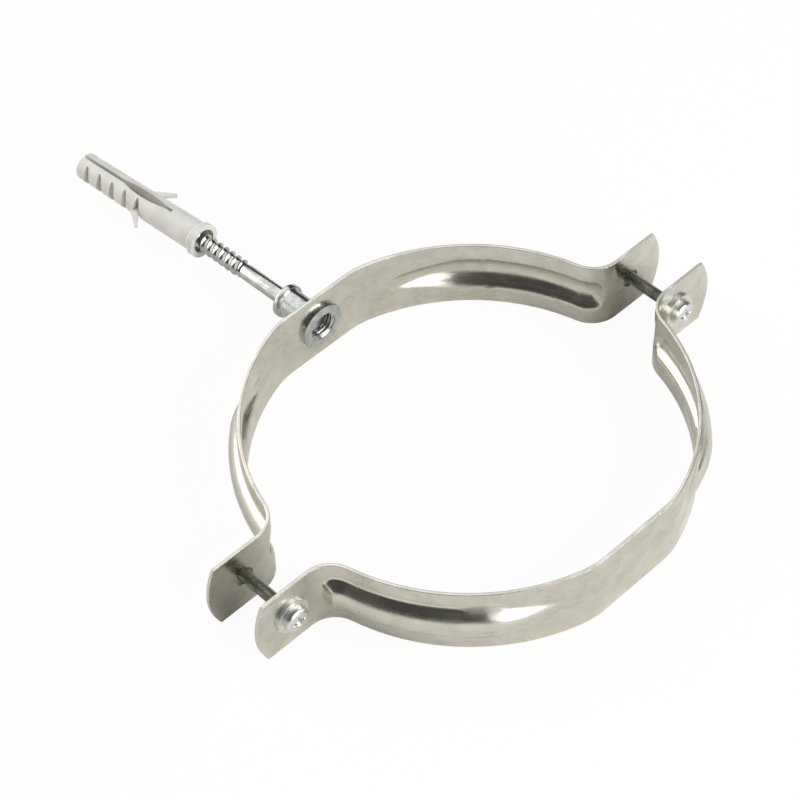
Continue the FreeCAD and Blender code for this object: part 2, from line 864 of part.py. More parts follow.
def flanged_nut(label):
    """Hexagon nut on a round flange, with a plain bore for its thread."""
    body = new_body(label)
    flange = disc(body, "flange_outline", "XZ_Plane", 0.0, 0.0, dim.nut_flange_dia)
    pad(body, "flange", flange, dim.nut_flange_thick, backward=True)
    doc.recompute()
    corner = dim.nut_flats / root(Size(3.0, "3"))
    half = dim.nut_flats / 2
    hexagon = outline(
        body,
        "hexagon_outline",
        "XZ_Plane",
        [
            (corner, 0.0),
            (corner / 2, half),
            (-corner / 2, half),
            (-corner, 0.0),
            (-corner / 2, -half),
            (corner / 2, -half),
        ],
    )
    pad(body, "hexagon", hexagon, dim.nut_height, backward=True)
    doc.recompute()
    bore_dia = dim.bolt_dia + dim.nut_slack * 2
    bore = disc(body, "bore_outline", "XZ_Plane", 0.0, 0.0, bore_dia)
    body.Tip = pocket(body, "bore", bore)
    return body


for side, sign in SIDES:
    reach = bolt_reach * sign + bolt_offset
    place(ear_bolt(side + "_bolt"), x=reach, y=under_head)
    washer_bore = dim.bolt_dia + dim.washer_slack * 2
    washer = ring(side + "_washer", dim.washer_dia, washer_bore, dim.washer_thick)
    place(washer, x=reach, y=under_head)
    place(flanged_nut(side + "_nut"), x=reach, y=dim.ear_gap / 2 + dim.strip_thick)


# Check every object, then write one file per piece

NODES = (
    "rear_band",
    "front_band",
    "threaded_boss",
    "wall_screw",
    "wall_plug",
    "left_bolt",
    "right_bolt",
    "left_washer",
    "right_washer",
    "left_nut",
    "right_nut",
)

doc.recompute()
for item in doc.Objects:
    if "Invalid" in item.State or "Error" in item.State:
        raise RuntimeError("%s did not build: %s" % (item.Name, item.State))
os.makedirs("parts", exist_ok=True)
for node in NODES:
    piece = doc.getObjectsByLabel(node)[0]
    shape = piece.Shape
    if shape.isNull() or not shape.isValid():
        raise RuntimeError("%s has no valid shape" % node)
    shape.exportStep("parts/%s.step" % node)
    box = shape.BoundBox
    limits = (box.XMin, box.XMax, box.YMin, box.YMax, box.ZMin, box.ZMax)
    print(node, len(shape.Solids), "%.1f mm3" % shape.Volume, ["%.2f" % v for v in limits])
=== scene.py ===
import logging
import math
from dataclasses import dataclass, field
from enum import Enum
from typing import Any, Callable, Sequence

import bmesh
import bpy
from mathutils import Matrix, Vector


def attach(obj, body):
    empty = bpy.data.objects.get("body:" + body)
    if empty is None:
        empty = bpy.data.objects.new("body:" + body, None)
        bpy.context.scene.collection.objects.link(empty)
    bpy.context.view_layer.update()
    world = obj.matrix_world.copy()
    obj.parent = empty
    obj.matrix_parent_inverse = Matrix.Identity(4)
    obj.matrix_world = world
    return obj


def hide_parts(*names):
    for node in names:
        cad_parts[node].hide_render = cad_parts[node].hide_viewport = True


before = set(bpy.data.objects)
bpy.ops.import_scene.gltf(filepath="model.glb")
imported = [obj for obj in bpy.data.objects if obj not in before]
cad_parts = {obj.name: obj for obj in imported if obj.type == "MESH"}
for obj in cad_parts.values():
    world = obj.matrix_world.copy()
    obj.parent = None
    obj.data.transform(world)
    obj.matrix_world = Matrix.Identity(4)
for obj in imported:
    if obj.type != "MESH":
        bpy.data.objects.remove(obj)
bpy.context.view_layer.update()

log = logging.getLogger("flue_pipe_clamp")

# Sizes below are in millimetres; Blender works in metres.
MM = 0.001

# Points nearer to each other than this become one, and shorter edges go, in metres.
MERGE_DISTANCE = 1e-7
SHORTEST_EDGE = 1e-8

WHITE = (1.0, 1.0, 1.0, 1.0)

# A radius is a plain number, or a function of the angle around the axis.
Radius = float | Callable[[float], float]

# A thread's form: share of a turn and share of the thread's height at each corner.
Ridge = tuple[tuple[float, float], ...]

# A worked edge: distance from the edge's end and distance inside its radius, in order.
Edge = tuple[tuple[float, float], ...]


class Side(Enum):
    """Which pair of ears a fastening belongs to."""

    LEFT = "left"
    RIGHT = "right"


def linear(hex_code: str) -> tuple[float, float, float, float]:
    """Turn an sRGB hex colour into linear RGBA.

    Args:
        hex_code: colour such as "#C7C4B7".

    Returns:
        Linear red, green and blue with full alpha.
    """
    channels = [int(hex_code[i:i + 2], 16) / 255 for i in (1, 3, 5)]
    red, green, blue = (
        c / 12.92 if c <= 0.04045 else ((c + 0.055) / 1.055) ** 2.4 for c in channels
    )
    return red, green, blue, 1.0


def smooth(value: float) -> float:
    """Ease a number from 0 to 1, held at both ends.

    Args:
        value: any number.

    Returns:
        The eased number, from 0 to 1.
    """
    held = min(max(value, 0.0), 1.0)
    return held * held * (3 - 2 * held)


def add_node(
    tree: bpy.types.NodeTree,
    kind: str,
    inputs: dict[str | int, Any] | None = None,
    **settings: Any,
) -> bpy.types.Node:
    """Add a shader node with its settings, socket values and links.

    Args:
        tree: node tree that gets the node.
        kind: the node's type name.
        inputs: value, or output socket to link, for each input socket.
        **settings: the node's own properties.

    Returns:
        The new node.
    """
    node = tree.nodes.new(kind)
    for name, value in settings.items():
        setattr(node, name, value)
    for name, value in (inputs or {}).items():
        if isinstance(value, bpy.types.NodeSocket):
            tree.links.new(value, node.inputs[name])
        else:
            node.inputs[name].default_value = value
    return node


def empty_material(name: str) -> tuple[bpy.types.Material, bpy.types.NodeTree]:
    """Make a material with an empty node tree.

    Args:
        name: the material's name.

    Returns:
        The material and its tree.
    """
    material = bpy.data.materials.new(name)
    material.use_nodes = True
    material.node_tree.nodes.clear()
    return material, material.node_tree


@dataclass(frozen=True)
class RolledSteelStrip:
    """Bright steel strip, cold rolled, slit and pressed between dies.

    The rolls leave fine lines along the strip, and the dies leave soft uneven patches,
    so the lands are an even satin and the beads show broken, streaky highlights.
    """

    name: str = "cold_rolled_steel_strip"
    pale: str = "#D6D4CA"
    dull: str = "#C9C7BC"
    polished: float = 0.19
    worn: float = 0.31
    # Roll lines are a few hundredths of a millimetre apart; drawn 0.8 mm apart to show.
    line_gap: float = 0.8
    line_length: float = 28.0
    line_height: float = 0.010
    # Die marks are a few millimetres across.
    patch_size: float = 6.5
    patch_height: float = 0.034
    # The noise's levels between which a colour or gloss runs from one end to the other.
    colour_span: tuple[float, float] = (0.35, 0.65)
    gloss_span: tuple[float, float] = (0.38, 0.62)
    # The slit edges are eased a little. The die blends each bead softly into its full
    # run, 41 degrees from the middle of the half ring. Each pair says where that blend
    # is whole and where it ends: degrees round the ring, distance from its axis, and
    # distance across the strip.
    edge_round: float = 0.3
    die_round: float = 4.5
    full_bead: float = 41.0
    blend_turn: tuple[float, float] = (3.0, 9.0)
    blend_reach: tuple[float, float] = (73.5, 75.0)
    blend_width: tuple[float, float] = (8.5, 10.0)
    blend_samples: int = 8
    seat_radius: float = 67.8

    def material(self) -> bpy.types.Material:
        """Build the material on coordinates that follow the strip round the ring.

        Returns:
            The finished material.
        """
        material, tree = empty_material(self.name)
        place = add_node(tree, "ShaderNodeTexCoord").outputs["Object"]
        xyz = add_node(tree, "ShaderNodeSeparateXYZ", {0: place}).outputs
        depth = add_node(tree, "ShaderNodeMath", {0: xyz["Y"]}, operation="ABSOLUTE")
        turn = add_node(
            tree,
            "ShaderNodeMath",
            {0: xyz["X"], 1: depth.outputs[0]},
            operation="ARCTAN2",
        )
        run = add_node(
            tree,
            "ShaderNodeMath",
            {0: turn.outputs[0], 1: self.seat_radius * MM},
            operation="MULTIPLY",
        )
        flat = add_node(tree, "ShaderNodeCombineXYZ", {0: xyz["X"], 1: xyz["Y"]})
        reach = add_node(
            tree, "ShaderNodeVectorMath", {0: flat.outputs[0]}, operation="LENGTH"
        )
        strip = add_node(
            tree,
            "ShaderNodeCombineXYZ",
            {0: run.outputs[0], 1: reach.outputs["Value"], 2: xyz["Z"]},
        )
        along = 1 / (self.line_length * MM)
        stretched = add_node(
            tree,
            "ShaderNodeVectorMath",
            {0: strip.outputs[0], 1: (along, along, 1 / (self.line_gap * MM))},
            operation="MULTIPLY",
        )
        lines = add_node(
            tree,
            "ShaderNodeTexNoise",
            {
                "Vector": stretched.outputs[0],
                "Scale": 1.0,
                "Detail": 3.0,
                "Roughness": 0.6,
            },
        )
        patches = add_node(
            tree,
            "ShaderNodeTexNoise",
            {
                "Vector": strip.outputs[0],
                "Scale": 1 / (self.patch_size * MM),
                "Detail": 3.0,
                "Roughness": 0.55,
            },
        )
        share = add_node(
            tree,
            "ShaderNodeMapRange",
            {0: patches.outputs["Fac"], 1: self.colour_span[0], 2: self.colour_span[1]},
        )
        colour = add_node(
            tree,
            "ShaderNodeMix",
            {0: share.outputs[0], 6: linear(self.dull), 7: linear(self.pale)},
            data_type="RGBA",
        )
        both = add_node(
            tree,
            "ShaderNodeMix",
            {0: 0.5, 2: patches.outputs["Fac"], 3: lines.outputs["Fac"]},
            data_type="FLOAT",
        )
        gloss = add_node(
            tree,
            "ShaderNodeMapRange",
            {
                0: both.outputs[0],
                1: self.gloss_span[0],
                2: self.gloss_span[1],
                3: self.worn,
                4: self.polished,
            },
        )
        rounded = self.rounding(tree, turn.outputs[0], reach.outputs["Value"], xyz["Z"])
        uneven = add_node(
            tree,
            "ShaderNodeBump",
            {
                "Strength": 1.0,
                "Distance": self.patch_height * MM,
                "Height": patches.outputs["Fac"],
                "Normal": rounded,
            },
        )
        lined = add_node(
            tree,
            "ShaderNodeBump",
            {
                "Strength": 1.0,
                "Distance": self.line_height * MM,
                "Height": lines.outputs["Fac"],
                "Normal": uneven.outputs[0],
            },
        )
        shader = add_node(
            tree,
            "ShaderNodeBsdfPrincipled",
            {
                "Base Color": colour.outputs[2],
                "Metallic": 1.0,
                "Roughness": gloss.outputs[0],
                "Normal": lined.outputs[0],
            },
        )
        add_node(tree, "ShaderNodeOutputMaterial", {0: shader.outputs[0]})
        return material

    def rounding(
        self,
        tree: bpy.types.NodeTree,
        turn: bpy.types.NodeSocket,
        reach: bpy.types.NodeSocket,
        height: bpy.types.NodeSocket,
    ) -> bpy.types.NodeSocket:
        """Ease the slit edges a little, and blend the beads softly into their full run.

        Args:
            tree: the material's node tree.
            turn: angle round the ring, from the middle of each half ring.
            reach: distance from the ring's axis.
            height: place across the strip.

        Returns:
            The rounded normal.
        """
        side = add_node(tree, "ShaderNodeMath", {0: turn}, operation="ABSOLUTE")
        past = add_node(
            tree,
            "ShaderNodeMath",
            {0: side.outputs[0], 1: math.radians(self.full_bead)},
            operation="SUBTRACT",
        )
        share: bpy.types.NodeSocket | float = 1.0
        for value, (whole, end) in (
            (past.outputs[0], [math.radians(limit) for limit in self.blend_turn]),
            (reach, [limit * MM for limit in self.blend_reach]),
            (height, [limit * MM for limit in self.blend_width]),
        ):
            size = add_node(tree, "ShaderNodeMath", {0: value}, operation="ABSOLUTE")
            within = add_node(
                tree, "ShaderNodeMapRange", {0: size.outputs[0], 1: end, 2: whole}
            )
            both = add_node(
                tree,
                "ShaderNodeMath",
                {0: within.outputs[0], 1: share},
                operation="MULTIPLY",
            )
            share = both.outputs[0]
        radius = add_node(
            tree,
            "ShaderNodeMapRange",
            {0: share, 3: self.edge_round * MM, 4: self.die_round * MM},
        )
        rounded = add_node(
            tree,
            "ShaderNodeBevel",
            {"Radius": radius.outputs[0]},
            samples=self.blend_samples,
        )
        return rounded.outputs[0]


@dataclass(frozen=True)
class ZincPlate:
    """Turned or cold-headed steel with a bright zinc coat.

    The coat is thin and cool in colour, nearly a mirror, with slight cloudy patches.
    """

    name: str = "bright_zinc_plated_steel"
    pale: str = "#C8CAC8"
    dull: str = "#ACAFAC"
    polished: float = 0.12
    worn: float = 0.26
    # Clouds in the coat are a few millimetres across.
    cloud_size: float = 2.2
    cloud_height: float = 0.003
    cloud_span: tuple[float, float] = (0.36, 0.64)

    def material(self) -> bpy.types.Material:
        """Build the material.

        Returns:
            The finished material.
        """
        material, tree = empty_material(self.name)
        place = add_node(tree, "ShaderNodeTexCoord").outputs["Object"]
        clouds = add_node(
            tree,
            "ShaderNodeTexNoise",
            {
                "Vector": place,
                "Scale": 1 / (self.cloud_size * MM),
                "Detail": 3.0,
                "Roughness": 0.55,
            },
        )
        low, high = self.cloud_span
        share = add_node(
            tree, "ShaderNodeMapRange", {0: clouds.outputs["Fac"], 1: low, 2: high}
        )
        colour = add_node(
            tree,
            "ShaderNodeMix",
            {0: share.outputs[0], 6: linear(self.dull), 7: linear(self.pale)},
            data_type="RGBA",
        )
        gloss = add_node(
            tree,
            "ShaderNodeMapRange",
            {
                0: clouds.outputs["Fac"],
                1: low,
                2: high,
                3: self.worn,
                4: self.polished,
            },
        )
        uneven = add_node(
            tree,
            "ShaderNodeBump",
            {
                "Strength": 1.0,
                "Distance": self.cloud_height * MM,
                "Height": clouds.outputs["Fac"],
            },
        )
        shader = add_node(
            tree,
            "ShaderNodeBsdfPrincipled",
            {
                "Base Color": colour.outputs[2],
                "Metallic": 1.0,
                "Roughness": gloss.outputs[0],
                "Normal": uneven.outputs[0],
            },
        )
        add_node(tree, "ShaderNodeOutputMaterial", {0: shader.outputs[0]})
        return material


@dataclass(frozen=True)
class MouldedNylon:
    """Pale grey nylon, injection moulded in a lightly eroded steel mould.

    The skin is even and softly shiny, with a faint grain from the mould and slow flow
    marks where the nylon cooled.
    """

    name: str = "moulded_grey_nylon"
    pale: str = "#E6E4DF"
    dull: str = "#DAD8D2"
    roughness: float = 0.42
    ior: float = 1.53
    # The mould's grain is about 0.05 mm; drawn 0.35 mm across to show.
    grain_size: float = 0.35
    grain_height: float = 0.004
    # Flow marks are several millimetres across.
    flow_size: float = 7.0
    flow_span: tuple[float, float] = (0.35, 0.65)

    def material(self) -> bpy.types.Material:
        """Build the material.

        Returns:
            The finished material.
        """
        material, tree = empty_material(self.name)
        place = add_node(tree, "ShaderNodeTexCoord").outputs["Object"]
        grain = add_node(
            tree,
            "ShaderNodeTexNoise",
            {"Vector": place, "Scale": 1 / (self.grain_size * MM), "Detail": 2.0},
        )
        flow = add_node(
            tree,
            "ShaderNodeTexNoise",
            {"Vector": place, "Scale": 1 / (self.flow_size * MM), "Detail": 3.0},
        )
        low, high = self.flow_span
        share = add_node(
            tree, "ShaderNodeMapRange", {0: flow.outputs["Fac"], 1: low, 2: high}
        )
        colour = add_node(
            tree,
            "ShaderNodeMix",
            {0: share.outputs[0], 6: linear(self.dull), 7: linear(self.pale)},
            data_type="RGBA",
        )
        grained = add_node(
            tree,
            "ShaderNodeBump",
            {
                "Strength": 1.0,
                "Distance": self.grain_height * MM,
                "Height": grain.outputs["Fac"],
            },
        )
        shader = add_node(
            tree,
            "ShaderNodeBsdfPrincipled",
            {
                "Base Color": colour.outputs[2],
                "Roughness": self.roughness,
                "IOR": self.ior,
                "Normal": grained.outputs[0],
            },
        )
        add_node(tree, "ShaderNodeOutputMaterial", {0: shader.outputs[0]})
        return material


@dataclass
class Turning:
    """Rings of points around +Y that become one mesh, in millimetres.

    An edge is sharp where its faces meet at more than the crease angle, in degrees.
    """

    columns: int
    crease: float = 32.0
    points: list[tuple[float, float, float]] = field(default_factory=list)
    faces: list[tuple[int, ...]] = field(default_factory=list)

    def point(self, angle: float, y: float, radius: float) -> int:
        """Add one point.

        Args:
            angle: angle around +Y from +Z, in radians.
            y: height along the axis.
            radius: distance from the axis.

        Returns:
            The point's number.
        """
        self.points.append((radius * math.sin(angle), y, radius * math.cos(angle)))
        return len(self.points) - 1

    def ring(self, y: float, radius: Radius) -> list[int]:
        """Add a ring of points.

        Args:
            y: height along the axis.
            radius: radius, or a function that gives it from the angle.

        Returns:
            The points' numbers.
        """
        numbers = []
        for column in range(self.columns):
            angle = 2 * math.pi * column / self.columns
            here = radius(angle) if callable(radius) else radius
            numbers.append(self.point(angle, y, here))
        return numbers

    def bridge(self, first: Sequence[int], second: Sequence[int]) -> None:
        """Join two rings by faces.

        Args:
            first: one ring.
            second: the next ring.
        """
        for here in range(self.columns):
            after = (here + 1) % self.columns
            self.faces.append((first[here], first[after], second[after], second[here]))

    def cap(self, ring: Sequence[int], y: float) -> None:
        """Close a ring by a fan to a point on the axis.

        Args:
            ring: the ring to close.
            y: height of the fan's middle.
        """
        middle = self.point(0.0, y, 0.0)
        for here in range(self.columns):
            self.faces.append((ring[here], ring[(here + 1) % self.columns], middle))

    def lathe(
        self, profile: Sequence[tuple[float, Radius]], loop: bool = False
    ) -> None:
        """Turn a profile round the axis into a closed shell.

        Args:
            profile: height and radius of each ring, in order.
            loop: join the last ring to the first, for a piece with a bore.
        """
        rings = [self.ring(y, radius) for y, radius in profile]
        for first, second in zip(rings, rings[1:]):
            self.bridge(first, second)
        if loop:
            self.bridge(rings[-1], rings[0])
            return
        self.cap(rings[0], profile[0][0])
        self.cap(rings[-1], profile[-1][0])

    def helix(
        self,
        start: float,
        end: float,
        pitch: float,
        ridge: Ridge,
        core: Callable[[float], float],
        crest: Callable[[float], float],
    ) -> None:
        """Add a rod with a right-handed thread as a closed shell.

        Args:
            start: height of the rod's first end.
            end: height of its other end.
            pitch: rise of one turn.
            ridge: the thread's form.
            core: radius at the root for a height along the axis.
            crest: radius at the crest for a height along the axis.
        """
        corners = [*ridge, (ridge[0][0] + 1.0, ridge[0][1])]

        def lift(phase: float) -> float:
            """Find how far the thread's form rises.

            Args:
                phase: share of a turn.

            Returns:
                Share of the thread's height.
            """
            wrapped = (phase - corners[0][0]) % 1.0 + corners[0][0]
            for (low, base), (high, top) in zip(corners, corners[1:]):
                if low <= wrapped <= high:
                    return base + (top - base) * (wrapped - low) / (high - low)
            return corners[0][1]

        turns = math.ceil((end - start) / pitch) + 2
        columns = []
        for column in range(self.columns):
            share = column / self.columns
            numbers = []
            for turn in range(-1, turns):
                for phase, _ in ridge:
                    y = start + (turn + phase + share) * pitch
                    y = min(max(y, start), end)
                    height = lift((y - start) / pitch - share)
                    low, high = core(y), crest(y)
                    radius = low + (high - low) * height
                    numbers.append(self.point(2 * math.pi * share, y, radius))
            columns.append(numbers)
        step = len(ridge)
        for here in range(self.columns):
            after = (here + 1) % self.columns
            shift = step if after == 0 else 0
            first, second = columns[here], columns[after]
            for row in range(len(first) - 1 - shift):
                low = row + shift
                self.faces.append(
                    (first[row], second[low], second[low + 1], first[row + 1])
                )
        self.cap([numbers[0] for numbers in columns], start)
        self.cap([numbers[-1] for numbers in columns], end)

    def piece(self, name: str, placement: Matrix) -> bpy.types.Object:
        """Make the object, with its place in its mesh.

        Args:
            name: the object's name.
            placement: where the local +Y axis goes, in metres.

        Returns:
            The new object.
        """
        mesh = bpy.data.meshes.new(name)
        places = [tuple(c * MM for c in point) for point in self.points]
        mesh.from_pydata(places, [], self.faces)
        shape = bmesh.new()
        shape.from_mesh(mesh)
        bmesh.ops.remove_doubles(shape, verts=shape.verts, dist=MERGE_DISTANCE)
        bmesh.ops.dissolve_degenerate(shape, edges=shape.edges, dist=SHORTEST_EDGE)
        bmesh.ops.recalc_face_normals(shape, faces=shape.faces)
        shape.to_mesh(mesh)
        shape.free()
        mesh.transform(placement)
        mesh.shade_smooth()
        mesh.set_sharp_from_angle(angle=math.radians(self.crease))
        piece = bpy.data.objects.new(name, mesh)
        bpy.context.scene.collection.objects.link(piece)
        return piece


def dress(piece: bpy.types.Object, material: bpy.types.Material) -> None:
    """Give a piece one material.

    Args:
        piece: the object.
        material: its finish.
    """
    if not piece.material_slots:
        piece.data.materials.append(material)
    for place in piece.material_slots:
        place.material = material


def carry(piece: bpy.types.Object, node: str, body: str) -> None:
    """Let a detailed piece stand for a CAD node.

    Args:
        piece: the detailed piece.
        node: the node that it stands for.
        body: the body that carries it.
    """
    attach(piece, body)
    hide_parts(node)


@dataclass
class HalfRings:
    """The two pressed half rings, kept as the CAD has them."""

    finish: RolledSteelStrip = RolledSteelStrip()
    nodes: tuple[str, ...] = ("rear_band", "front_band")

    def build(self) -> list[str]:
        """Dress both half rings.

        Returns:
            The names of the pieces.
        """
        material = self.finish.material()
        for name in self.nodes:
            dress(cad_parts[name], material)
        return list(self.nodes)


@dataclass
class WallPlug:
    """The moulded plug, kept as the CAD has it."""

    finish: MouldedNylon = MouldedNylon()
    node: str = "wall_plug"

    def build(self) -> list[str]:
        """Dress the plug.

        Returns:
            The name of the piece.
        """
        dress(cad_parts[self.node], self.finish.material())
        return [self.node]


@dataclass
class WallScrew:
    """Stud, neck, collar, shank and wood thread of the wall screw, along local +Y."""

    zinc: bpy.types.Material
    columns: int = 72
    pivot: float = 66.45
    # The screw leans in its boss by these angles, in degrees.
    swing: float = 1.5
    droop: float = 1.0
    stud_end: float = 0.8
    thread_end: float = 5.6
    stud_radius: float = 4.0
    stud_core: float = 3.4
    stud_pitch: float = 1.25
    stud_bevel: float = 0.7
    stud_ridge: Ridge = ((0.0, 0.0), (0.16, 0.0), (0.5, 1.0), (0.66, 1.0))
    neck_radius: float = 4.75
    neck_sunk: float = 0.6
    neck_flare: float = 0.35
    collar_near: float = 13.5
    collar_radius: float = 5.75
    collar_thick: float = 2.0
    collar_round: float = 0.45
    collar_corner: tuple[float, ...] = (0, 22.5, 45, 67.5, 90)
    cone: float = 1.2
    # Where the cone behind the collar bends, as shares of its length and height.
    cone_waist: tuple[float, float] = (0.35, 0.42)
    shank_radius: float = 2.65
    shank_length: float = 18.0
    shank_taper: float = 1.2
    shank_sunk: float = 2.0
    wood_crest: float = 3.15
    wood_core: float = 2.3
    wood_pitch: float = 2.9
    wood_start: float = 0.4
    # Turns over which the wood thread rises behind the shank.
    wood_rise: float = 0.9
    wood_ridge: Ridge = (
        (0.0, 0.0),
        (0.3, 0.0),
        (0.52, 0.55),
        (0.6, 1.0),
        (0.68, 1.0),
        (0.78, 0.5),
    )
    wood_length: float = 25.0
    tip_length: float = 7.5
    tip_radius: float = 0.3

    def placement(self) -> Matrix:
        """Where the screw leans in its boss.

        Returns:
            The turn and the move of the local axis, in metres.
        """
        lean = Matrix.Rotation(math.radians(self.swing), 4, "Z") @ Matrix.Rotation(
            math.radians(-self.droop), 4, "X"
        )
        return Matrix.Translation(Vector((0.0, self.pivot, 0.0)) * MM) @ lean

    def draft(self) -> Turning:
        """Lay out the screw's shells.

        Returns:
            The points and faces.
        """
        work = Turning(columns=self.columns)

        def stud_limit(y: float) -> float:
            """Largest radius near the stud's chamfered end."""
            return self.stud_radius - max(self.stud_bevel - (y - self.stud_end), 0.0)

        work.helix(
            self.stud_end,
            self.thread_end,
            self.stud_pitch,
            self.stud_ridge,
            lambda y: min(self.stud_core, stud_limit(y)),
            stud_limit,
        )
        near, rim = self.collar_near, self.collar_radius
        far = near + self.collar_thick
        shank_end = far + self.shank_length
        rounding = [
            (
                self.collar_round * (1 - math.sin(math.radians(angle))),
                self.collar_round * (1 - math.cos(math.radians(angle))),
            )
            for angle in self.collar_corner
        ]
        along, up = self.cone_waist
        work.lathe(
            [
                (self.thread_end - self.neck_sunk, self.stud_core),
                (self.thread_end, self.neck_radius),
                (near - self.neck_flare, self.neck_radius),
                (near, self.neck_radius + self.neck_flare),
                *((near + inward, rim - cut) for inward, cut in reversed(rounding)),
                *((far - inward, rim - cut) for inward, cut in rounding),
                (far, self.shank_radius + self.cone),
                (far + self.cone * along, self.shank_radius + self.cone * up),
                (far + self.cone, self.shank_radius),
                (shank_end, self.shank_radius),
                (shank_end + self.shank_taper, self.wood_core),
                (shank_end + self.shank_sunk, self.wood_core),
            ]
        )
        wood_end = shank_end + self.wood_length

        def core(y: float) -> float:
            """Root radius, which tapers to the point."""
            share = max(y - wood_end, 0.0) / self.tip_length
            return self.wood_core + (self.tip_radius * 0.5 - self.wood_core) * share

        def crest(y: float) -> float:
            """Crest radius, which rises behind the shank and tapers to the point.

            Args:
                y: height along the axis.

            Returns:
                The radius.
            """
            start = smooth((y - shank_end) / (self.wood_pitch * self.wood_rise))
            share = max(y - wood_end, 0.0) / self.tip_length
            full = self.wood_crest + (self.tip_radius - self.wood_crest) * share
            return core(y) + (full - core(y)) * start

        work.helix(
            shank_end + self.wood_start,
            wood_end + self.tip_length,
            self.wood_pitch,
            self.wood_ridge,
            core,
            crest,
        )
        return work

    def build(self) -> list[str]:
        """Make the screw and set it in its boss.

        Returns:
            The name of the piece.
        """
        piece = self.draft().piece("wall_screw_detail", self.placement())
        dress(piece, self.zinc)
        carry(piece, "wall_screw", "wall_fixing")
        return [piece.name]


@dataclass
class ThreadedBoss:
    """The flanged bush with its countersunk mouth and its inner thread."""

    zinc: bpy.types.Material
    columns: int = 96
    face: float = 64.45
    flange_radius: float = 8.0
    flange_thick: float = 1.5
    flange_edge: Edge = ((0.0, 0.35), (0.105, 0.105), (0.35, 0.0))
    sheet: float = 1.0
    barrel_radius: float = 5.8
    barrel_bevel: float = 0.3
    rivet_radius: float = 6.7
    rivet_thick: float = 0.9
    rivet_near_edge: Edge = ((0.0, 0.25), (0.2, 0.0))
    rivet_far_edge: Edge = ((0.3, 0.1), (0.0, 0.45))
    length: float = 6.4
    mouth_radius: float = 4.85
    mouth_depth: float = 0.9
    # Share of the mouth's depth that is straight, and how fast it then narrows.
    mouth_lip: float = 0.3
    mouth_slope: float = 1.15
    crest: float = 4.16
    root: float = 4.75
    root_clear: float = 0.05
    pitch: float = 1.25
    # The bore is drawn from just inside the far end to this share of the mouth's depth.
    bore_inset: float = 0.02
    bore_share: float = 0.25
    bore_steps: int = 110
    # Steepness and flat of the thread's form.
    form_slope: float = 2.6
    form_flat: float = 0.3

    def build(self) -> list[str]:
        """Make the boss with a thread that runs into both ends of its bore.

        Returns:
            The name of the piece.
        """
        work = Turning(columns=self.columns)
        rim, rivet = self.flange_radius, self.rivet_radius
        sheet_end = self.flange_thick + self.sheet
        rivet_end = sheet_end + self.rivet_thick
        profile: list[tuple[float, Radius]] = [
            (0.0, self.mouth_radius),
            *((rise, rim - cut) for rise, cut in self.flange_edge),
            (self.flange_thick, rim),
            (self.flange_thick, self.barrel_radius),
            (sheet_end, self.barrel_radius),
            *((sheet_end + rise, rivet - cut) for rise, cut in self.rivet_near_edge),
            *((rivet_end - drop, rivet - cut) for drop, cut in self.rivet_far_edge),
            (rivet_end, self.barrel_radius),
            (self.length - self.barrel_bevel, self.barrel_radius),
            (self.length, self.barrel_radius - self.barrel_bevel),
            (self.length, self.root + self.root_clear),
        ]
        start = self.length - self.bore_inset
        run = start - self.mouth_depth * self.bore_share
        for step in range(self.bore_steps + 1):
            y = start - run * step / self.bore_steps
            profile.append((y, self.bore(y)))
        work.lathe(profile, loop=True)
        place = Matrix.Translation(Vector((0.0, self.face, 0.0)) * MM)
        piece = work.piece("threaded_boss_detail", place)
        dress(piece, self.zinc)
        carry(piece, "threaded_boss", "rear_half")
        return [piece.name]

    def bore(self, y: float) -> Callable[[float], float]:
        """Wall of the threaded bore at one height.

        Args:
            y: distance from the flange's face.

        Returns:
            The radius as a function of the angle.
        """
        narrowed = max(y - self.mouth_depth * self.mouth_lip, 0.0) * self.mouth_slope
        mouth = self.mouth_radius - narrowed

        def radius(angle: float) -> float:
            """Radius of the wall, in the thread or in the mouth.

            Args:
                angle: angle around the axis.

            Returns:
                The radius.
            """
            phase = (y / self.pitch - angle / (2 * math.pi)) % 1.0
            groove = smooth(abs(phase - 0.5) * self.form_slope - self.form_flat)
            return max(self.crest + (self.root - self.crest) * groove, mouth)

        return radius


